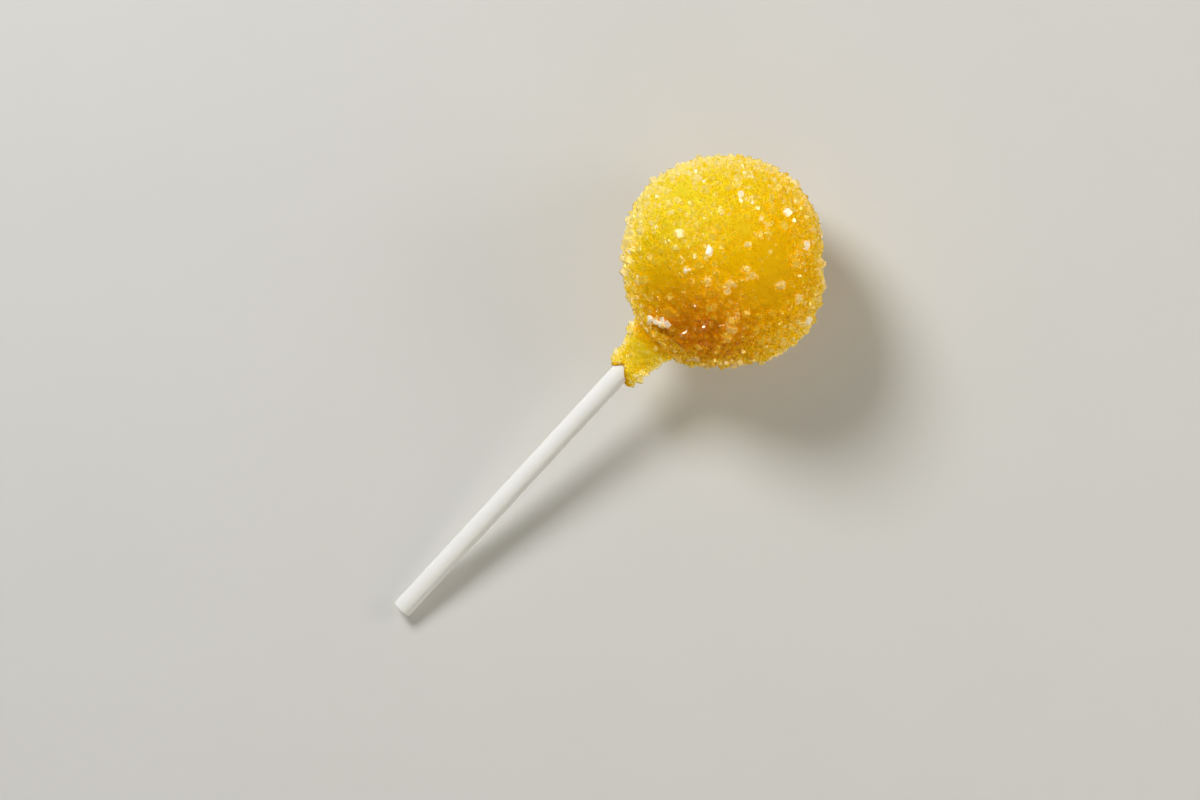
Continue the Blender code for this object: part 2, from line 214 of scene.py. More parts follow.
# The cross product of the two slopes of the surface, each from a small step, turned to face out.
def icingNormal(station, turn):
    step = 0.001
    down = icingPoint(station + step, turn) - icingPoint(station - step, turn)
    across = icingPoint(station, turn + step) - icingPoint(station, turn - step)
    normal = np.cross(across, down)
    normal /= np.linalg.norm(normal, axis=-1)[..., None] + 1e-12
    return normal * np.sign((normal * (icingPoint(station, turn) - centre)).sum(-1))[..., None]


# Smooth noise round 0, seldom beyond 2: sine waves of one length in random directions, their sum
# over the root of their number.
def waveNoise(points, length, seed, waves=18):
    random = np.random.RandomState(seed)
    directions = random.normal(0, 1, (waves, 3))
    directions *= (2 * np.pi / length) / np.linalg.norm(directions, axis=1)[:, None]
    starts = random.uniform(0, 2 * np.pi, waves)
    return np.sin(points @ directions.T + starts).sum(-1) / math.sqrt(waves)


# Meshes and materials

# Points, and blocks of faces that each have the same number of corners, put into one mesh.
def meshPiece(name, points, faceBlocks, material, smooth):
    mesh = bpy.data.meshes.new(name)
    loops = np.concatenate([block.ravel() for block in faceBlocks]).astype(np.int32)
    sides = np.concatenate([np.full(len(block), block.shape[1]) for block in faceBlocks])
    mesh.vertices.add(len(points))
    mesh.vertices.foreach_set("co", points.astype(np.float32).ravel())
    mesh.loops.add(len(loops))
    mesh.loops.foreach_set("vertex_index", loops)
    mesh.polygons.add(len(sides))
    mesh.polygons.foreach_set("loop_start", np.concatenate(([0], np.cumsum(sides)[:-1])).astype(np.int32))
    mesh.polygons.foreach_set("loop_total", sides.astype(np.int32))
    mesh.update(calc_edges=True)
    mesh.polygons.foreach_set("use_smooth", np.full(len(sides), smooth))
    mesh.validate()
    mesh.materials.append(material)
    piece = bpy.data.objects.new(name, mesh)
    bpy.context.scene.collection.objects.link(piece)
    return piece


def floatAttribute(piece, name, values):
    attribute = piece.data.attributes.new(name, "FLOAT", "POINT")
    attribute.data.foreach_set("value", values.astype(np.float32).ravel())


# Rings of points joined to their neighbours by quads, with a fan to a tip at each end.
def ringFaces(rings, columns):
    ring, column = np.meshgrid(np.arange(rings - 1), np.arange(columns), indexing="ij")
    after = (column + 1) % columns
    corner = 1 + ring * columns
    quads = corner + column, corner + columns + column, corner + columns + after, corner + after
    order = np.arange(columns)
    last = 1 + (rings - 1) * columns
    firstFan = np.stack((np.zeros(columns, int), 1 + order, 1 + (order + 1) % columns), -1)
    lastFan = np.stack((last + order, np.full(columns, last + columns), last + (order + 1) % columns), -1)
    return [np.stack(quads, -1).reshape(-1, 4), firstFan, lastFan]


# One smooth piece from its first tip, its rings and its last tip.
def ringPiece(name, firstTip, rings, lastTip, material):
    points = np.concatenate((firstTip[None], rings.reshape(-1, 3), lastTip[None]))
    return meshPiece(name, points, ringFaces(*rings.shape[:2]), material, True)


# A material with these values on its Principled shader's sockets.
def newMaterial(name, settings):
    material = bpy.data.materials.new(name)
    material.use_nodes = True
    tree = material.node_tree
    shader = tree.nodes["Principled BSDF"]
    for socket, value in settings.items():
        shader.inputs[socket].default_value = value
    return material, tree, shader


def link(source, target):
    source.id_data.links.new(source, target)


def addNode(tree, kind, settings=(), **inputs):
    node = tree.nodes.new(kind)
    for key, value in dict(settings).items():
        setattr(node, key, value)
    for key, value in inputs.items():
        node.inputs[key].default_value = value
    return node


# A group that all the materials use: a soft noise for patches and a finer one for grain.
def buildSpeckleGroup():
    tree = bpy.data.node_groups.new("speckle", "ShaderNodeTree")
    for label, kind in (("Vector", "Vector"), ("Patch Scale", "Float"), ("Grain Scale", "Float")):
        tree.interface.new_socket(label, in_out="INPUT", socket_type="NodeSocket" + kind)
    for label in ("Patch", "Grain"):
        tree.interface.new_socket(label, in_out="OUTPUT", socket_type="NodeSocketFloat")
    start = tree.nodes.new("NodeGroupInput")
    end = tree.nodes.new("NodeGroupOutput")
    patch = addNode(tree, "ShaderNodeTexNoise", Detail=3.0, Roughness=0.6)
    grain = addNode(tree, "ShaderNodeTexNoise", Detail=2.0, Roughness=0.55)
    for noise, scale, output in ((patch, "Patch Scale", "Patch"), (grain, "Grain Scale", "Grain")):
        link(start.outputs["Vector"], noise.inputs["Vector"])
        link(start.outputs[scale], noise.inputs["Scale"])
        link(noise.outputs["Fac"], end.inputs[output])
    return tree


speckleGroup = buildSpeckleGroup()


# The patches and the grain of the speckle group, read from Object coordinates.
def addSpeckle(tree, patchScale, grainScale):
    place = tree.nodes.new("ShaderNodeTexCoord")
    speckle = tree.nodes.new("ShaderNodeGroup")
    speckle.node_tree = speckleGroup
    speckle.inputs["Patch Scale"].default_value = patchScale
    speckle.inputs["Grain Scale"].default_value = grainScale
    link(place.outputs["Object"], speckle.inputs["Vector"])
    return speckle.outputs["Patch"], speckle.outputs["Grain"]


# The value of a mesh attribute, linked to a socket.
def addAttribute(tree, name, target):
    attribute = addNode(tree, "ShaderNodeAttribute", {"attribute_name": name})
    link(attribute.outputs["Fac"], target)


# A value moved from one range to another, and linked.
def addRange(tree, source, target, low, high, fromLow=0.0, fromHigh=1.0):
    spread = addNode(tree, "ShaderNodeMapRange")
    for label, value in (("From Min", fromLow), ("From Max", fromHigh), ("To Min", low), ("To Max", high)):
        spread.inputs[label].default_value = value
    link(source, spread.inputs["Value"])
    link(spread.outputs["Result"], target)


# A value turned into a colour by stops of a position and a colour each, and linked.
def addRamp(tree, source, target, stops):
    ramp = tree.nodes.new("ShaderNodeValToRGB")
    while len(ramp.color_ramp.elements) < len(stops):
        ramp.color_ramp.elements.new(0.5)
    for element, (position, colour) in zip(ramp.color_ramp.elements, stops):
        element.position = position
        element.color = (*colour, 1)
    link(source, ramp.inputs["Fac"])
    link(ramp.outputs["Color"], target)


# A height turned into relief in the shading.
def addBump(tree, shader, height, strength, distance):
    relief = addNode(tree, "ShaderNodeBump", Strength=strength, Distance=distance)
    link(height, relief.inputs["Height"])
    link(relief.outputs["Normal"], shader.inputs["Normal"])


# Icing

icing = {
    "columns": 320,
    "ballRings": 168,
    "neckRings": 34,
    "neckShare": 0.94,  # of the neck that its rings cover, up to the lip
    "lipRings": 6,
    "lipRounding": 0.55,  # share of the neck's wall that its mouth is rounded by
    "mouthGap": 0.03 * mm,  # between the icing and the stick at the mouth
    "mouthSteps": (0.1 * mm, 1.0 * mm),  # how far in the socket's first rings lie
    "socketGap": 0.3 * mm,
    "relief": (  # length, depth, seed
        (2.4 * mm, 0.13 * mm, 11), (1.15 * mm, 0.07 * mm, 12), (0.8 * mm, 0.035 * mm, 13),
    ),
    "bareCalm": 0.85,  # share of the relief that bare icing lacks
    "barePatches": (  # towards +X and +Y and radius, in shares of the ball's radius
        (0.3, -0.39, 0.28), (0.05, -0.51, 0.26), (0.22, 0.75, 0.14), (-0.59, 0.33, 0.1),
        (0.34, 0.06, 0.1), (-0.88, -0.01, 0.08), (-0.68, -0.17, 0.07), (-1.2, 0.01, 0.12),
        (0.22, 0.88, 0.09), (0.06, -0.1, 0.13),
    ),
    "paintedLitSide": (0.10, 0.80, 0.60),  # the direction of the key lamp, where the icing is painted palest
    "paintedShadeSide": (-0.73, -0.25, 0.64),  # and the side in shade, where it is painted deepest
    "shadeWidth": 34.0,  # degrees
    "shadeShares": (0.35, 0.65),  # away from the key lamp's side, and round the side in shade
    "shadeEnd": (1.15, 0.10),  # radii from the centre where that ends, and over which it fades
    "levelHollow": 0.19,  # the value that level icing has, for its colour
    "swellSpan": 4 * mm,  # swell that makes it count 1 less: painted shade in the hollows, paler on the crests
    # Painted shade in the pocket under the ledge, and the weight of the painted shade away from the key lamp.
    "pocketShade": 0.5,
    "pocketSpread": (1.3, 1.4),  # its painted shade's width and length, over those of the pocket in form
    "paintedShadeWeight": 0.85,
    "neckHollow": 0.05,
    "neckFade": (0.9, 0.1),  # station at which that starts, and over which it grows
    "lipHollow": 0.5,
    "patchiness": 0.12,  # how much soft noise is added
    "tints": (  # on the crests, on the level, and under the painted shade in hollows and pockets
        (0.20, (0.815, 0.665, 0.03)), (0.42, (0.765, 0.440, 0.001)), (1.0, (0.55, 0.19, 0.001)),
    ),
    "speckle": (260.0, 1900.0),  # patches and grains in a metre, here and below
    "roughness": (0.22, 0.5),
    "bump": (0.35, 0.25 * mm),  # strength and height
}


# From 0 to 1: the largest of the bell curves round the smooth patches on the ball's upper side.
def bareness(points):
    offset = (points - centre) / ball["radius"]
    bare = np.zeros(points.shape[:-1])
    for x, y, radius in icing["barePatches"]:
        bare = np.maximum(bare, bell(np.hypot(offset[..., 0] - x, offset[..., 1] - y), radius))
    return bare * (offset @ upward > 0)


# The cosine of the angle between a direction and the way from the ball's centre to a place.
def towards(points, direction):
    outward = points - centre
    outward = outward / (np.linalg.norm(outward, axis=-1)[..., None] + 1e-9)
    return np.clip(outward @ direction / np.linalg.norm(direction), -1, 1)


# How far a place is turned from the key lamp's side, from 0 to 1: one less the cosine.
def awayFromKey(points):
    return np.clip(1 - towards(points, icing["paintedLitSide"]), 0, 1)


# Painted shade, from 0 to 1: a share of how far a place is turned from the key lamp's side, plus a
# bell curve round the side in shade. Beyond the ball's surface it fades, so the neck has none.
def paintedShade(points):
    awayShare, bellShare = icing["shadeShares"]
    offShade = np.degrees(np.arccos(towards(points, icing["paintedShadeSide"])))
    shadeLevel = awayShare * awayFromKey(points) + bellShare * bell(offShade, icing["shadeWidth"])
    end, span = icing["shadeEnd"]
    reach = np.linalg.norm(points - centre, axis=-1)
    return shadeLevel * np.clip((end * ball["radius"] - reach) / (span * ball["radius"]), 0, 1)


# The icing's small swells: waves of three lengths, calmer where the icing is bare.
def icingRelief(points):
    swell = sum(depth * waveNoise(points, length, seed) for length, depth, seed in icing["relief"])
    return swell * (1 - icing["bareCalm"] * bareness(points))


# The colour goes by the shade-and-tone value: painted shade in hollows, in the pocket and away from
# the key lamp, plus the neck's and the lip's own tone and a little of the soft noise.
def makeIcingMaterial():
    material, tree, shader = newMaterial("lemonIcing", {
        "IOR": 1.46, "Specular IOR Level": 0.02, "Subsurface Weight": 0.35,
        "Subsurface Scale": 1.2 * mm, "Subsurface Radius": (1.0, 0.75, 0.4),
    })
    patch, grain = addSpeckle(tree, *icing["speckle"])
    depth = addNode(tree, "ShaderNodeMath", {"operation": "MULTIPLY_ADD"})
    link(patch, depth.inputs[0])
    depth.inputs[1].default_value = icing["patchiness"]
    addAttribute(tree, "shadeAndTone", depth.inputs[2])
    addRamp(tree, depth.outputs[0], shader.inputs["Base Color"], icing["tints"])
    addRange(tree, grain, shader.inputs["Roughness"], *icing["roughness"])
    addBump(tree, shader, grain, *icing["bump"])
    return material


def makeIcing():
    columns = icing["columns"]
    turn = np.arange(columns) * 2 * np.pi / columns
    ballStations = np.arange(1, icing["ballRings"] + 1) / icing["ballRings"]
    neckStations = 1 + icing["neckShare"] * np.arange(1, icing["neckRings"] + 1) / icing["neckRings"]
    stations = np.concatenate((ballStations, neckStations))[:, None]
    points = icingPoint(stations, turn)
    swell = icingRelief(points)
    points = points + icingNormal(stations, turn) * swell[..., None]

    # The lip: a quarter of an ellipse from the last ring to the mouth, then straight in to the stick.
    mouth = stick["radius"] + icing["mouthGap"]
    lastWidth = np.linalg.norm(np.cross(points[-1] - centre, along), axis=-1)
    lastDistance = (points[-1] - centre) @ along
    rounding = icing["lipRounding"] * (lastWidth - mouth)
    bend = np.linspace(0, np.pi / 2, icing["lipRings"] + 1)[1:, None]
    lipDistance = lastDistance + (neckEnd(turn) - lastDistance) * np.sin(bend)
    lip = onAxis(lipDistance, lastWidth - rounding * (1 - np.cos(bend)), turn)
    bottom = stick["reach"] - stick["length"] - icing["socketGap"]
    inner = [neckEnd(turn) - step for step in icing["mouthSteps"]] + [np.full(columns, bottom)]
    rings = np.concatenate((points, lip, onAxis(np.stack(inner), mouth, turn)))
    rings[..., 2] = np.maximum(rings[..., 2], 0)
    bottomTip = centre + bottom * along
    piece = ringPiece("icedCakeBall", icingPoint(0, 0), rings, bottomTip, makeIcingMaterial())

    # The shade-and-tone value, from 0 on its crests to 1 in its pockets: its level value less the
    # swell, plus shares of the pocket, of the painted shade there and of the neck. The swell and the
    # pocket paint shade into hollows; the neck and the lip get a deeper tone of their own.
    beside, past = fromLedge(angleOffAxis(stations), turn)
    below, pocketWidth, _ = ball["pocket"]
    wider, longer = icing["pocketSpread"]
    pocket = bell(past + below, pocketWidth * wider) * bell(beside, ball["ledgeLength"] * longer)
    neckStart, neckSpan = icing["neckFade"]
    onNeck = np.clip((stations - neckStart) / neckSpan, 0, 1)
    shadeAndTone = icing["levelHollow"] - swell / icing["swellSpan"] + icing["pocketShade"] * pocket
    shadeAndTone = shadeAndTone + icing["paintedShadeWeight"] * paintedShade(points) + icing["neckHollow"] * onNeck
    rest = np.full((len(rings) - len(points)) * columns + 1, icing["lipHollow"])
    shadeAndTone = np.concatenate(([icing["lipHollow"]], np.clip(shadeAndTone, 0, 1).ravel(), rest))
    floatAttribute(piece, "shadeAndTone", shadeAndTone)
    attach(piece, "root")
    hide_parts("iced_cake_ball")


makeIcing()
print("icing made")


# Sugar

sugar = {
    "seed": 7,
    "coarse": (120, 1.4 * mm, 2.0 * mm),  # crystals on the ball, least and greatest size
    "medium": (760, 0.95 * mm, 1.5 * mm),
    "neckCoarse": (20, 0.9 * mm, 1.4 * mm),  # the same on the neck
    "small": ((3500, 0.70 * mm, 1.15 * mm), (150, 0.55 * mm, 0.9 * mm), 31),  # ball, neck, seed
    "fine": ((7600, 0.42 * mm, 0.76 * mm), (700, 0.32 * mm, 0.58 * mm), 32),
    "neckStations": (1.12, 1.96),
    "scatter": 0.35,  # how far a place is pushed about, in steps of the spiral
    "standOut": 0.26,  # how far a large crystal's middle stands out, as a share of its size
    "strewnStandOut": 0.1,  # and small and fine ones', and how far that varies
    "strewnVariation": (-0.2, 0.15),
    "spacing": 1.1,  # least distance between large crystals, in mean sizes
    "groupSpacing": 0.3,  # and where they have grown together
    "thinning": 1.3,  # times bareness, the chance that a large one is missing
    "strewnThinning": 0.94,  # and a small or fine one
    "clearance": 0.1 * mm,  # of the lowest corner above the floor
    "bareSpot": 4.2 * mm,  # radius under the ball without large crystals
    "strewnSpot": 0.9,  # share of it without others
    "crease": 0.985,  # station from which the ball has none of the others
    "ridge": (15, -8.0, 8.0, 0.6, 1.3),  # crystals, degrees from the ledge's middle, scatter along, across
    "ridgeSizes": (0.7 * mm, 1.4 * mm),
    "ridgePaleness": (0.8, 1.25),
    "neckLandmarks": (  # share of the neck, degrees round the stick, size, paleness
        (0.31, -62.0, 2.2 * mm, 0.75),
        (0.78, 75.0, 1.9 * mm, 0.85),
        (0.68, 48.0, 1.5 * mm, 0.8),
        (0.88, -62.0, 1.6 * mm, 0.75),
    ),
    "landmarks": (  # towards +X and +Y in shares of the ball's radius, size in mm, paleness
        (0.57, 0.31, 1.8, 0.93), (0.74, -0.13, 2.1, 1.0), (0.64, -0.48, 2.0, 1.0),
        (-0.04, 0.16, 2.0, 1.0), (0.12, -0.97, 2.0, 0.95), (-0.71, 0.47, 1.8, 0.9),
        (0.49, 0.82, 1.9, 0.9), (0.4, 0.72, 2.0, 0.88), (-0.21, 0.75, 1.5, 0.88),
        (-0.93, 0.13, 1.6, 0.9), (0.31, 0.33, 1.4, 0.88), (0.61, 0.21, 1.3, 0.9), (0.87, 0.37, 1.6, 0.92),
        (0.12, 0.72, 1.3, 0.85), (-0.33, 0.2, 1.2, 0.95), (0.66, 0.43, 2.3, 0.85), (0.77, 0.38, 1.6, 0.88),
        (0.85, 0.1, 2.5, 0.75), (0.93, -0.19, 2.6, 0.8), (0.52, -0.47, 1.8, 0.75),
        (0.44, -0.53, 1.9, 0.65), (0.39, -0.09, 1.6, 0.7), (0.53, -0.08, 1.3, 0.8),
        (-0.49, 0.78, 2.6, 0.85), (-0.56, 0.76, 1.8, 0.85), (-0.26, 0.53, 1.1, 0.8),
        (-0.26, -0.02, 1.6, 0.85), (-0.14, -0.19, 1.8, 0.85), (0.08, -0.22, 1.5, 0.8),
        (0.07, -0.3, 1.6, 0.8), (-0.43, -0.22, 2.0, 0.6), (-0.3, -0.45, 1.5, 0.85),
        (-0.44, -0.5, 2.5, 0.85), (-0.18, -0.93, 1.9, 0.8), (0.05, -0.95, 1.8, 0.75),
        (-0.87, 0.41, 2.0, 0.8), (-0.53, -0.54, 1.8, 0.8), (-0.72, 0.04, 2.2, 0.45),
        (0.41, 0.6, 1.7, 0.7), (0.23, 0.88, 1.4, 0.8), (0.54, -0.77, 1.7, 0.8),
    ),
    "whiteFrom": 0.93,  # the paleness from which a crystal is white, not clear
    "grown": (5, 0.32, 0.60),  # crystals grown against each of these, and their share of its size
    "grownAway": (0.45, 0.72),  # how far off they stand, in its sizes
    "grownFrom": 0.85,  # share of its size that the crystal itself keeps
    "grownPaleness": (0.5, 1.12),
    "second": (0.65, 0.3),  # second side: least share of the first, and how much more at random
    "third": (0.5, 0.4),
    "narrowed": (0.8, 0.2),  # the same of the narrower end's width
    "cut": (0.10, 0.40),  # how far a crystal's edges are cut back, as a share of half a side
    "steep": (0.8, 0.6),  # the normal's rise where the sides start, and its fall until they are steepest
    "under": (1.2, 0.4),  # what is added to the rise, and the least that is left underneath
    "leanLoss": 0.75,  # share of it that is lost on the sides
    "paleShares": (0.06, 0.03),  # of the large crystals, and of small and fine ones
    "speckle": (700.0, 2600.0),
    "grainSpan": (0.35, 0.65),  # of the noise that the mottle is spread over
    "patchSpan": (0.3, 0.7),  # and the roughness
    "bumpHeight": 0.1 * mm,
}


# Stations and turns of directions from the ball's centre, by their angle off the axis.
def stationsAndTurns(outward):
    outward = outward / np.linalg.norm(outward, axis=1)[:, None]
    offAxis = np.arccos(np.clip(outward @ along, -1, 1))
    station = (math.pi - offAxis) / (math.pi - math.radians(ball["neckAngle"]))
    return station, np.arctan2(outward @ aside, outward @ upward)


# Stations, turns, sizes and paleness of the crystals that have places of their own on the ball, then
# of those grown against them, at a random turn and a share of their size away.
def landmarkPlaces(random):
    east, north, sizes, pale = np.array(sugar["landmarks"]).T
    sizes = sizes * mm
    count, smallest, largest = sugar["grown"]
    away = random.uniform(0, 2 * np.pi, (count, len(sizes)))
    beside = random.uniform(*sugar["grownAway"], away.shape) * sizes / ball["radius"]
    east = np.append(east, east + beside * np.cos(away))
    north = np.append(north, north + beside * np.sin(away))
    pale = np.append(pale, pale * random.uniform(*sugar["grownPaleness"], away.shape))
    sizes = np.append(sizes * sugar["grownFrom"], sizes * random.uniform(smallest, largest, away.shape))
    height = np.sqrt(np.maximum(0, 1 - east ** 2 - north ** 2))
    station, turn = stationsAndTurns(np.stack((east, north, height), axis=1))
    return np.array((station, turn, sizes, pale))


def neckLandmarkPlaces():
    share, turn, sizes, pale = np.array(sugar["neckLandmarks"]).T
    return np.array((1 + share, np.radians(turn), sizes, pale))


# A ridge of crystals along the ledge, pushed about along it and across it.
def ridgePlaces(random):
    count, first, last, lengthwise, crosswise = sugar["ridge"]
    beside = np.linspace(first, last, count) + random.normal(0, lengthwise, count)
    angle = ball["ledgeAngle"] + ball["ledgeSlant"] * beside + random.normal(0, crosswise, count)
    station = (180 - angle) / (180 - ball["neckAngle"])
    sizes, pale = random.uniform(*sugar["ridgeSizes"], count), random.uniform(*sugar["ridgePaleness"], count)
    return np.array((station, np.radians(ball["ledgeTurn"] + beside), sizes, pale))


# A golden-angle spiral over the ball, even in height, each place pushed about at random.
def placesOnBall(kind, random):
    count, smallest, largest = kind
    order = np.arange(count)
    height = 1 - 2 * (order + 0.5) / count
    level = np.sqrt(1 - height ** 2)
    spiral = order * goldenAngle
    outward = np.stack((level * np.cos(spiral), level * np.sin(spiral), height), axis=1)
    outward += random.normal(0, sugar["scatter"] / math.sqrt(count), (count, 3))
    return np.array((*stationsAndTurns(outward), random.uniform(smallest, largest, count)))


# The same spiral round the neck, even along it.
def placesOnNeck(kind, random):
    count, smallest, largest = kind
    order = np.arange(count)
    first, last = sugar["neckStations"]
    station = first + (last - first) * (order + 0.5) / count
    return np.array((station, order * goldenAngle, random.uniform(smallest, largest, count)))


# Rotation matrices from unit quaternions drawn at random.
def randomTurns(count, random):
    w, x, y, z = (random.normal(0, 1, (count, 4)) + 1e-9).T
    n = 2 / (w * w + x * x + y * y + z * z)
    rows = (
        (1 - n * (y * y + z * z), n * (x * y - z * w), n * (x * z + y * w)),
        (n * (x * y + z * w), 1 - n * (x * x + z * z), n * (y * z - x * w)),
        (n * (x * z - y * w), n * (y * z + x * w), 1 - n * (x * x + y * y)),
    )
    return np.array(rows).transpose(2, 0, 1)


# A plain cube from -0.5 to 0.5, its faces pointing out.
def cubeTemplate():
    square = (-0.5, -0.5), (0.5, -0.5), (0.5, 0.5), (-0.5, 0.5)
    corners = [(x, y, z) for z in (-0.5, 0.5) for x, y in square]
    faces = ((3, 2, 1, 0), (4, 5, 6, 7), (0, 1, 5, 4), (1, 2, 6, 5), (2, 3, 7, 6), (3, 0, 4, 7))
    return np.array(corners), np.zeros((8, 3)), [np.array(faces)]


# The same cube with its edges cut back: each corner gives three points, each of which keeps one
# coordinate whole and has the others cut. Its faces are 6 squares, 12 strips and 8 corner triangles.
def blockTemplate():
    corners = np.repeat([(x, y, z) for z in (-0.5, 0.5) for y in (-0.5, 0.5) for x in (-0.5, 0.5)], 3, axis=0)
    cuts = 1 - np.tile(np.eye(3), (8, 1))

    # A corner's first point, by its side, 0 or 1, on an axis and on the two after it.
    def firstPoint(axis, *sides):
        return 3 * sum(side << (axis + i) % 3 for i, side in enumerate(sides))

    quads = []
    for axis in range(3):
        after = (axis + 1) % 3
        for side in (0, 1):
            square = ((0, 0), (1, 0), (1, 1), (0, 1))
            quads.append([firstPoint(axis, side, *others) + axis for others in square])
            for other in (0, 1):
                low, high = firstPoint(axis, side, other, 0), firstPoint(axis, side, other, 1)
                quads.append([low + axis, high + axis, high + after, low + after])
    # Each face is turned to look outwards, which it does alike for any depth of cut.
    blocks = []
    sampleCut = 0.2
    cut = corners * (1 - sampleCut * cuts)
    for faces in (np.array(quads), np.arange(24).reshape(8, 3)):
        first, second, third = (cut[faces[:, i]] for i in range(3))
        inward = (np.cross(second - first, third - first) * cut[faces].mean(axis=1)).sum(axis=1) < 0
        faces[inward] = faces[inward][:, ::-1]
        blocks.append(faces)
    return corners, cuts, blocks


# Each crystal is the template scaled to uneven sides, its edges cut back by a depth of their own on
# each axis, narrowed at one end, turned and moved to its middle. The cuts are drawn apart from the rest.
def crystalPoints(middles, sizes, random, template):
    template, cuts, faces = template
    count = len(sizes)
    second, third, narrow = random.uniform(0, 1, (3, count))
    shares = np.ones(count), within(sugar["second"], second), within(sugar["third"], third)
    sides = sizes[:, None] * np.stack(shares, axis=1)
    depths = np.random.RandomState(count).uniform(*sugar["cut"], (count, 1, 3))
    corners = template[None] * (1 - depths * cuts[None])
    taper = (template[:, 2] > 0) * (within(sugar["narrowed"], narrow) - 1)[:, None] + 1
    corners[:, :, :2] *= taper[..., None]
    turned = np.einsum("nij,nkj->nki", randomTurns(count, random), corners * sides[:, None, :])
    points = middles[:, None, :] + turned
    points[:, :, 2] += np.maximum(sugar["clearance"] - points[:, :, 2].min(axis=1), 0)[:, None]
    return points, faces


# The crystals' middles: the icing with its swells, plus a share of their size along the normal.
def seated(station, turn, sizes, standOut):
    points, normals = icingPoint(station, turn), icingNormal(station, turn)
    lift = icingRelief(points) + standOut * sizes
    return points + normals * lift[:, None]


# Lamps shine through the crystals onto the icing and are tinted on the way.
def letThrough(tree, shader, tint):
    rays = tree.nodes.new("ShaderNodeLightPath")
    window = addNode(tree, "ShaderNodeBsdfTransparent", Color=(*tint, 1))
    mix = tree.nodes.new("ShaderNodeMixShader")
    link(rays.outputs["Is Shadow Ray"], mix.inputs["Fac"])
    link(shader.outputs["BSDF"], mix.inputs[1])
    link(window.outputs["BSDF"], mix.inputs[2])
    link(mix.outputs["Shader"], tree.nodes["Material Output"].inputs["Surface"])


def makeSugarMaterial(name, looks):
    material, tree, shader = newMaterial(name, {
        "IOR": looks["bending"], "Transmission Weight": looks["clearness"],
        "Specular IOR Level": looks["gloss"],
    })
    # Only the faces turned to the ray count, so that light isn't caught inside a crystal.
    face = tree.nodes.new("ShaderNodeNewGeometry")
    front = addNode(tree, "ShaderNodeMath", {"operation": "SUBTRACT", "use_clamp": True})
    addAttribute(tree, "cover", front.inputs[0])
    link(face.outputs["Backfacing"], front.inputs[1])
    link(front.outputs[0], shader.inputs["Alpha"])
    # The tint, plus a mottle from the grain, gives the colour.
    patch, grain = addSpeckle(tree, *sugar["speckle"])
    varied = addNode(tree, "ShaderNodeMath", {"operation": "ADD"})
    addAttribute(tree, "tint", varied.inputs[0])
    addRange(tree, grain, varied.inputs[1], -looks["mottle"], looks["mottle"], *sugar["grainSpan"])
    # Painted shade: the colour is multiplied by the shade tint as far as the painted shade goes, so the
    # crystal is warmer and darker under the painted shade.
    shadedColour = addNode(tree, "ShaderNodeMix", {"data_type": "RGBA", "blend_type": "MULTIPLY"})
    addAttribute(tree, "shadeLevel", shadedColour.inputs[0])
    addRamp(tree, varied.outputs[0], shadedColour.inputs[6], looks["tints"])
    shadedColour.inputs[7].default_value = (*looks["warmth"], 1)
    link(shadedColour.outputs[2], shader.inputs["Base Color"])
    letThrough(tree, shader, looks["shadow"])
    addRange(tree, patch, shader.inputs["Roughness"], *looks["roughness"], *sugar["patchSpan"])
    addBump(tree, shader, grain, looks["bump"], sugar["bumpHeight"])
    return material


# Light spreads inside a crystal, so each face is shaded with its own normal leaned towards the
# icing's: their mean, weighted by the lean.
def leanNormals(piece, points, faces, outward, leans):
    shading = []
    for block in faces:
        first, second, third = (points[:, block[:, i]] for i in range(3))
        facing = np.cross(second - first, third - first)
        facing /= np.linalg.norm(facing, axis=-1)[..., None]
        leaned = (1 - leans)[:, None, None] * facing + (leans[:, None] * outward)[:, None, :]
        leaned /= np.linalg.norm(leaned, axis=-1)[..., None] + 1e-9
        shading.append(np.repeat(leaned.reshape(-1, 3), block.shape[1], axis=0))
    piece.data.normals_split_custom_set(np.concatenate(shading).tolist())


# The crystals chosen, as one mesh.
def makeSugar(name, looks, chosen, faces, *crystals):
    station, turn, middles, points, tints = (values[chosen] for values in crystals)
    count, corners = points.shape[:2]
    step = np.arange(count)[:, None, None] * corners
    blocks = [(block[None] + step).reshape(-1, block.shape[1]) for block in faces]
    piece = meshPiece(name, points.reshape(-1, 3), blocks, makeSugarMaterial(name, looks), False)
    leanNormals(piece, points, faces, icingNormal(station, turn), leansFor(looks, station, turn, middles))
    covers = coversFor(looks, station, turn)
    # The attributes include the painted shade at each crystal, which warms and darkens its colour.
    for label, values in (("tint", tints), ("cover", covers), ("shadeLevel", paintedShade(middles))):
        floatAttribute(piece, label, np.repeat(values, corners))
    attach(piece, "root")
    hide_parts("iced_cake_ball")


# Cover is the share of light that a crystal stops, on the ball's top and on its sides. Shadow is what
# lamp light is multiplied by on its way through, and the shade tint what its colour is multiplied by
# under the painted shade.
largeLooks = {"roughness": (0.02, 0.10), "bending": 1.55, "lean": 0.55, "mottle": 0.2, "gloss": 0.5}
whiteLooks = {
    **largeLooks, "clearness": 0.25, "bump": 0.5, "shadow": (0.88, 0.87, 0.83),
    "tints": ((0.0, (0.94, 0.70, 0.08)), (0.5, (1.0, 0.92, 0.58)), (1.0, (1.0, 1.0, 0.95))),
    "cover": (0.82, 0.96), "warmth": (1.0, 0.95, 0.85),
}
clearLooks = {
    **largeLooks, "clearness": 0.3, "bump": 0.6, "shadow": (0.89, 0.86, 0.68),
    "tints": (
        (0.0, (0.57, 0.21, 0.001)), (0.35, (0.77, 0.475, 0.002)), (0.7, (0.865, 0.665, 0.03)),
        (1.0, (0.97, 0.88, 0.50)),
    ),
    "cover": (0.70, 0.95), "warmth": (1.0, 0.75, 0.50),
}
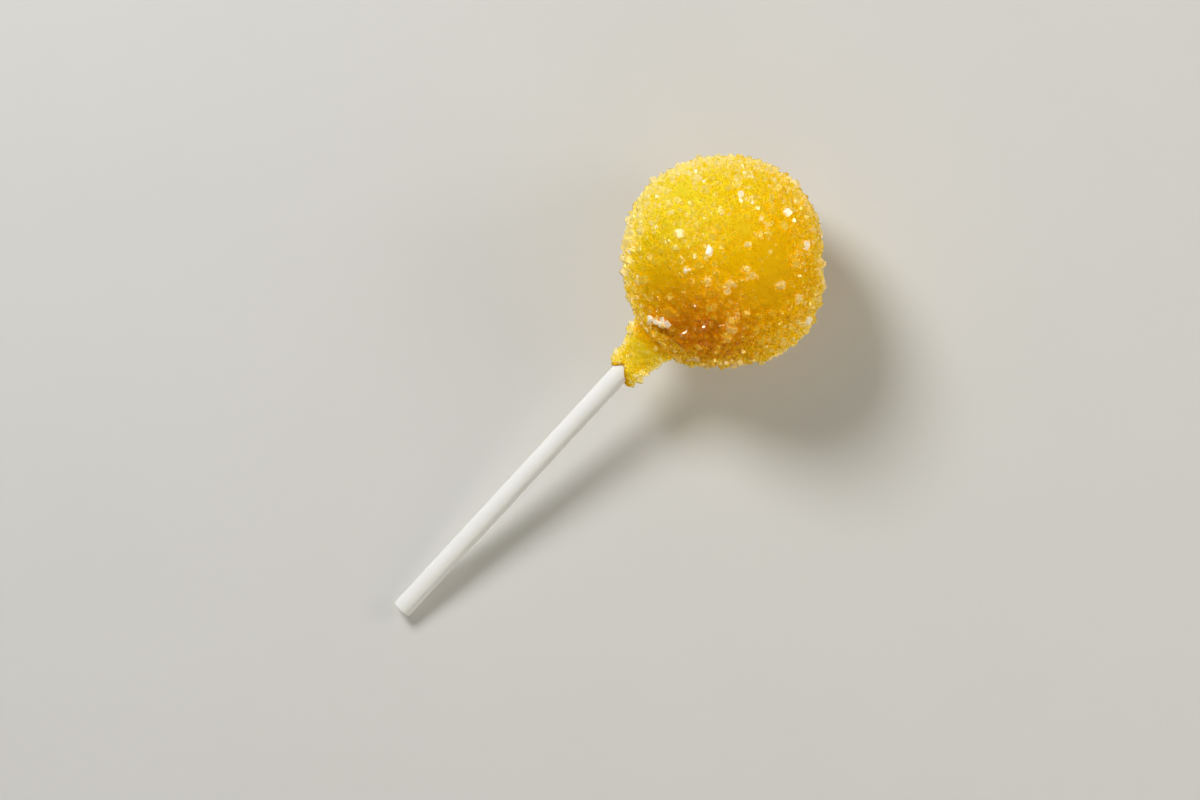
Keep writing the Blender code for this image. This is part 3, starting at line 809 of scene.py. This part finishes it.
smallLooks = {
    "clearness": 0.25, "roughness": (0.05, 0.14), "bump": 0.35, "shadow": (0.945, 0.905, 0.66),
    "bending": 1.36,
    "tints": (
        (0.0, (0.535, 0.188, 0.001)), (0.35, (0.735, 0.438, 0.001)), (0.75, (0.81, 0.62, 0.003)),
        (1.0, (0.90, 0.79, 0.30)),
    ),
    "cover": (0.45, 0.90), "warmth": (1.0, 0.86, 0.66), "lean": 0.80, "mottle": 0.06, "gloss": 0.28,
}
fineLooks = {
    **smallLooks, "clearness": 0.15, "roughness": (0.06, 0.16), "bump": 0.2, "shadow": (0.95, 0.913, 0.66),
    "tints": (*smallLooks["tints"][:2], (0.75, (0.81, 0.612, 0.002)), (1.0, (0.90, 0.78, 0.27))),
    "cover": (0.32, 0.86), "bending": 1.32, "lean": 0.85, "mottle": 0.04, "gloss": 0.25,
}


# How far down the sides a place is, by its normal's rise: 0 where the icing faces up, 1 where it faces
# sideways, and less again underneath.
def sideways(station, turn):
    rise = icingNormal(station, turn)[:, 2]
    start, span = sugar["steep"]
    added, least = sugar["under"]
    return np.clip((start - rise) / span, 0, 1) * np.clip(added + rise, least, 1)


tinting = {
    "middle": 0.70,
    "shadeLevel": 0.71,  # how much less where the painted shade is fullest
    "spread": (0.04, 0.35),  # random spread on the key lamp's side, and how much more away from it
    "evenDraw": 0.45,  # the draw that changes nothing
    "side": 0.12,  # how much more on the sides, as painted rim light
    "edge": 0.45,  # and at most how much again, at random
    "pale": 0.4,  # how much more for the few pale ones
    "paleTop": 0.4,  # their share on the ball's top, against its sides'
    "paleAway": 2.5,  # and away from the key lamp's side, partly as painted glints
}


# Where a crystal's colour lies on its ramp, from 0 to 1: a middle value, less under the painted
# shade, spread at random, more on the sides as painted rim light, and more again for a few pale
# ones, which are commoner away from the key lamp, partly as painted glints.
def tintsFor(station, turn, middles, random, paleShare):
    chance, few, edge = random.uniform(0, 1, (3, len(station)))
    side, away = sideways(station, turn), awayFromKey(middles)
    tint = tinting["middle"] - tinting["shadeLevel"] * paintedShade(middles)
    tint = tint + within(tinting["spread"], away) * (chance - tinting["evenDraw"])
    tint = tint + tinting["side"] * side + tinting["edge"] * edge * side ** 2
    pale = few < paleShare * (tinting["paleTop"] + side + tinting["paleAway"] * away)
    return np.clip(tint + tinting["pale"] * pale, 0, 1)


# The lean is less on the sides and away from the key lamp's side, where the crystals stand out more.
def leansFor(looks, station, turn, middles):
    return looks["lean"] * (1 - sugar["leanLoss"] * np.maximum(sideways(station, turn), awayFromKey(middles)))


# From the top's cover to the sides', by how far down the sides a place is.
def coversFor(looks, station, turn):
    top, side = looks["cover"]
    return top + (side - top) * sideways(station, turn)


# Which crystals stay, so that none sits in an earlier one. Room is half the space that each needs.
def apart(middles, room):
    kept = []
    for i, (middle, half) in enumerate(zip(middles, room)):
        if (np.linalg.norm(middles[kept] - middle, axis=1) > room[kept] + half).all():
            kept.append(i)
    return np.array(kept)


# Whether each crystal sits under the ball, within a radius of its flat spot's middle.
def underBall(middles, radius):
    return (middles[:, 2] < ball["height"]) & (np.hypot(*middles.T[:2]) < radius)


# The crystals with places of their own come first and keep the paleness given for them.
def makeLargeSugar():
    random = np.random.RandomState(sugar["seed"])
    placed = np.concatenate((ridgePlaces(random), landmarkPlaces(random), neckLandmarkPlaces()), axis=1)
    strewn = np.concatenate((
        placesOnBall(sugar["coarse"], random),
        placesOnNeck(sugar["neckCoarse"], random),
        placesOnBall(sugar["medium"], random),
    ), axis=1)
    station, turn, sizes = np.concatenate((placed[:3], strewn), axis=1)
    middles = seated(station, turn, sizes, sugar["standOut"])
    points, faces = crystalPoints(middles, sizes, random, blockTemplate())
    tints = tintsFor(station, turn, middles, random, sugar["paleShares"][0])
    inGroup = np.arange(len(sizes)) < placed.shape[1]
    tints[inGroup] = np.clip(placed[3], 0, 1)
    white = inGroup & (tints >= sugar["whiteFrom"])
    kept = apart(middles, sizes / 2 * np.where(inGroup, sugar["groupSpacing"], sugar["spacing"]))
    thinned = ~inGroup & (random.uniform(0, 1, len(sizes)) < sugar["thinning"] * bareness(middles))
    kept = kept[~(underBall(middles, sugar["bareSpot"]) | thinned)[kept]]
    crystals = faces, station, turn, middles, points, tints
    makeSugar("whiteSugar", whiteLooks, kept[white[kept]], *crystals)
    makeSugar("clearSugar", clearLooks, kept[~white[kept]], *crystals)


# Crystals strewn over the ball and the neck, thinned out where the icing is bare.
def makeStrewnSugar(name, onBall, onNeck, seed, template, looks):
    random = np.random.RandomState(seed)
    places = placesOnBall(onBall, random), placesOnNeck(onNeck, random)
    station, turn, sizes = np.concatenate(places, axis=1)
    standOut = sugar["strewnStandOut"] + random.uniform(*sugar["strewnVariation"], len(sizes))
    middles = seated(station, turn, sizes, standOut)
    points, faces = crystalPoints(middles, sizes, random, template)
    tints = tintsFor(station, turn, middles, random, sugar["paleShares"][1])
    inCrease = (station < 1) & (station > sugar["crease"])
    thinned = random.uniform(0, 1, len(sizes)) < sugar["strewnThinning"] * bareness(middles)
    missing = underBall(middles, sugar["strewnSpot"] * sugar["bareSpot"]) | inCrease | thinned
    makeSugar(name, looks, ~missing, faces, station, turn, middles, points, tints)


makeLargeSugar()
makeStrewnSugar("smallSugar", *sugar["small"], blockTemplate(), smallLooks)
makeStrewnSugar("fineSugar", *sugar["fine"], cubeTemplate(), fineLooks)
print("sugar made")


# Paper stick

paper = {
    "tints": ((0.30, (0.915, 0.91, 0.885)), (0.52, (0.93, 0.925, 0.90))),
    "speckle": (500.0, 4200.0),
    "roughness": (0.42, 0.62),
    "bump": (0.05, 0.1 * mm),
}


# The stick's radius, less a step at the paper's outer edge that fades away round the stick.
def stickRadius(turn):
    past = (np.degrees(turn) - stick["seamTurn"]) % 360
    return stick["radius"] - stick["seamStep"] * np.exp(-past / stick["seamFade"])


# The cut end: a shallow dish with a pinhole, and a groove that winds outwards, one turn for each
# layer of paper.
def endDepth(share, turn):
    layer = (share * stick["rollTurns"] - turn / (2 * np.pi)) % 1
    groove = stick["rollGroove"] * bell(np.minimum(layer, 1 - layer), stick["grooveWidth"])
    dish = stick["endDish"] * (1 - share ** 2)
    return groove + dish + stick["pinhole"] * bell(share, stick["pinholeWidth"])


def makePaperMaterial():
    material, tree, shader = newMaterial("whitePaper", {
        "IOR": 1.45, "Subsurface Weight": 0.05, "Subsurface Scale": 0.5 * mm,
        "Subsurface Radius": (1.0, 0.9, 0.8),
    })
    patch, grain = addSpeckle(tree, *paper["speckle"])
    addRamp(tree, patch, shader.inputs["Base Color"], paper["tints"])
    addRange(tree, grain, shader.inputs["Roughness"], *paper["roughness"])
    addBump(tree, shader, grain, *paper["bump"])
    return material


def makeStick():
    turn = np.arange(stick["columns"]) * 2 * np.pi / stick["columns"]
    inner, outer, edge = stick["reach"] - stick["length"], stick["reach"], stick["rimRounding"]
    bend = np.linspace(0, np.pi / 2, stick["rimRings"])[:, None]
    radius = stickRadius(turn)
    rimRadius = radius - edge * (1 - np.cos(bend))
    startRim = onAxis(inner + edge * (1 - np.sin(bend)), rimRadius, turn)[::-1]
    body = onAxis(np.linspace(inner + edge, outer - edge, stick["bodyRings"])[1:-1, None], radius, turn)
    endRim = onAxis(outer - edge * (1 - np.sin(bend)), rimRadius, turn)
    share = np.linspace(1, 0, stick["endRings"])[1:-1, None]
    face = onAxis(outer - endDepth(share, turn), (radius - edge) * share, turn)
    rings = np.concatenate((startRim, body, endRim, face))
    endTip = centre + (outer - endDepth(0.0, 0.0)) * along
    piece = ringPiece("paperStick", centre + inner * along, rings, endTip, makePaperMaterial())
    piece.data.set_sharp_from_angle(angle=math.radians(stick["sharpFrom"]))
    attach(piece, "root")
    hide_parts("paper_stick")


makeStick()
print("stick made")


# Floor, light and camera

studio = {
    "floorTints": ((0.3, (0.60085, 0.60085, 0.591)), (0.7, (0.61, 0.61, 0.60))),
    "floorSpeckle": (30.0, 400.0),
    "floorRoughness": 0.7,
    "floorReach": 2.0,  # from its middle to each side
    "imageRight": (0.679, -0.734, 0.0),
    "imageUp": (0.734, 0.679, 0.0),
    "aim": (-37.2 * mm, -0.74 * mm, 20.0 * mm),
    "distance": 2.5,
    "lens": 375.0,
    "sensor": 36.0,
    "lampDistance": 0.9,  # from the ball's centre
    "keyFrom": (0.131, 0.993, 0.98),
    "keySize": 0.34,
    "keyPower": 6.6,
    "fills": (  # to the image's right, its up and the sky, power, whether it lights the stick
        ((1.0, 0.1, 0.5), 4.05, False),
        ((0.35, -1.0, 0.28), 2.6, True),
    ),
    "fillSize": 0.6,
    "fillColour": (1.0, 0.96, 0.88),
    "sparks": ((-0.6, 0.7, 0.9), (-0.7, -0.7, 1.0), (1.0, 0.5, 0.8), (0.3, -1.0, 0.9), (1.0, -0.4, 0.5)),
    "sparkSize": 0.38,
    "sparkPower": 4.0,
    "sparkColour": (1.0, 0.86, 0.36),
    "skyStrength": 0.13,
}


def makeFloor():
    material, tree, shader = newMaterial("paleFloor", {"Roughness": studio["floorRoughness"]})
    patch, _ = addSpeckle(tree, *studio["floorSpeckle"])
    addRamp(tree, patch, shader.inputs["Base Color"], studio["floorTints"])
    corners = studio["floorReach"] * np.array(((-1, -1, 0), (1, -1, 0), (1, 1, 0), (-1, 1, 0)), float)
    floor = meshPiece("floor", corners, [np.array(((0, 1, 2, 3),))], material, False)
    floor.visible_glossy = False


# For matrix_world: the object's own x, y and z directions and its place, one after another.
def placing(right, up, back, place):
    matrix = np.eye(4)
    matrix[:, :3] = right, up, back, place
    return matrix.tolist()


# A direction given by the image's right, its up and the sky, as a unit vector.
def lampDirection(toRight, toUp, toSky):
    direction = toRight * np.array(studio["imageRight"]) + toUp * np.array(studio["imageUp"]) + (0, 0, toSky)
    return direction / np.linalg.norm(direction)


# A round lamp in a direction from the ball's centre, facing it.
def makeLight(name, direction, size, power, colour=(1, 1, 1)):
    lamp = bpy.data.lights.new(name, "AREA")
    lamp.shape, lamp.size, lamp.energy, lamp.color = "DISK", size, power, colour
    light = bpy.data.objects.new(name, lamp)
    bpy.context.scene.collection.objects.link(light)
    place = centre + direction * studio["lampDistance"]
    back = place - centre
    back /= np.linalg.norm(back)
    right = np.cross((0, 0, 1), back)
    right /= np.linalg.norm(right)
    light.matrix_world = placing(right, np.cross(back, right), back, place)
    return light


# The fills cast no shadow. One leaves out the stick, so that its far side stays dark.
def makeFills():
    flagged = bpy.data.collections.new("flagged")
    flagged.objects.link(bpy.data.objects["paperStick"])
    flagged.collection_objects[0].light_linking.link_state = "EXCLUDE"
    size, colour = studio["fillSize"], studio["fillColour"]
    for number, (shares, power, lightsStick) in enumerate(studio["fills"], 1):
        fill = makeLight(f"fill{number}", lampDirection(*shares), size, power, colour)
        fill.visible_glossy = False
        fill.data.use_shadow = False
        if not lightsStick:
            fill.light_linking.receiver_collection = flagged


# Lamps that show only as glints in the crystals' faces.
def makeSparks():
    size, power, colour = studio["sparkSize"], studio["sparkPower"], studio["sparkColour"]
    for number, shares in enumerate(studio["sparks"], 1):
        spark = makeLight(f"spark{number}", lampDirection(*shares), size, power, colour)
        spark.visible_diffuse = False


def makeSky():
    world = bpy.data.worlds.new("studio")
    world.use_nodes = True
    background = world.node_tree.nodes["Background"]
    background.inputs["Color"].default_value = (1, 1, 1, 1)
    background.inputs["Strength"].default_value = studio["skyStrength"]
    bpy.context.scene.world = world


# The camera looks straight down from above the aim.
def makeCamera():
    lens = bpy.data.cameras.new("camera")
    lens.lens, lens.sensor_width = studio["lens"], studio["sensor"]
    camera = bpy.data.objects.new("camera", lens)
    bpy.context.scene.collection.objects.link(camera)
    place = np.array(studio["aim"]) + (0, 0, studio["distance"])
    camera.matrix_world = placing(studio["imageRight"], studio["imageUp"], (0, 0, 1), place)
    bpy.context.scene.camera = camera


makeFloor()
keyFrom = np.array(studio["keyFrom"]) / np.linalg.norm(studio["keyFrom"])
makeLight("key", keyFrom, studio["keySize"], studio["keyPower"])
makeFills()
makeSparks()
makeCamera()
makeSky()
bpy.context.scene.view_settings.view_transform = "Standard"
print("studio made")
